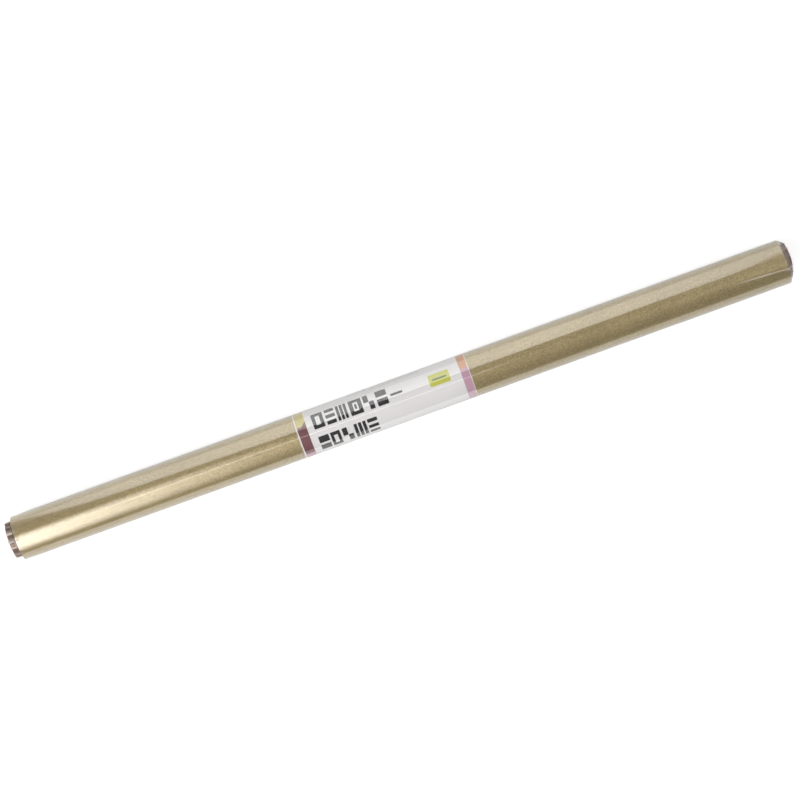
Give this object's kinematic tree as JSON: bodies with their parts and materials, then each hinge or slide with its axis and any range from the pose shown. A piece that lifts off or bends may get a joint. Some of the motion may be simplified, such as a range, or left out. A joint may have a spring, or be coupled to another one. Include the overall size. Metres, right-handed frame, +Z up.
{
  "type": "wrapping paper roll",
  "caption": "Slim roll of metallic gold tissue wrapping paper on a board core, with a printed paper band round it and a clear shrink-film sleeve closed over both ends.",
  "frame": {"origin": "on the surface that the roll lies on, under the middle of the core", "axes": "+X along the roll, from the end with the steep turn-in to the end with the sloping one; +Z up, towards the side of the label that carries the print; +Y across, away from a person who reads the label"},
  "size_m": [0.5084, 0.0282, 0.0282],
  "materials": {
    "core_board": "matte",
    "gold_tissue": "satin",
    "printed_paper": "matte",
    "clear_film": "gloss"
  },
  "bodies": {
    "sleeve": {"film_sleeve": "clear_film"},
    "paper_roll": {"tissue_sheet_1": "gold_tissue", "tissue_sheet_2": "gold_tissue", "tissue_sheet_3": "gold_tissue", "tissue_sheet_4": "gold_tissue", "tissue_sheet_5": "gold_tissue"},
    "label": {"label_band": "printed_paper"},
    "core": {"core_tube": "core_board"},
    "film_end": {"film_end_right": "clear_film"}
  },
  "joints": [
    {"name": "roll_slide", "type": "slide", "parent": "sleeve", "child": "paper_roll", "axis": [1, 0, 0], "range_m": [0, 0.52]},
    {"name": "label_slide", "type": "slide", "parent": "paper_roll", "child": "label", "axis": [1, 0, 0], "range_m": [-0.18, 0.2]},
    {"name": "core_slide", "type": "slide", "parent": "paper_roll", "child": "core", "axis": [1, 0, 0], "range_m": [0, 0.52]},
    {"name": "film_end_slide", "type": "slide", "parent": "core", "child": "film_end", "axis": [1, 0, 0], "range_m": [0, 0.05]}
  ]
}
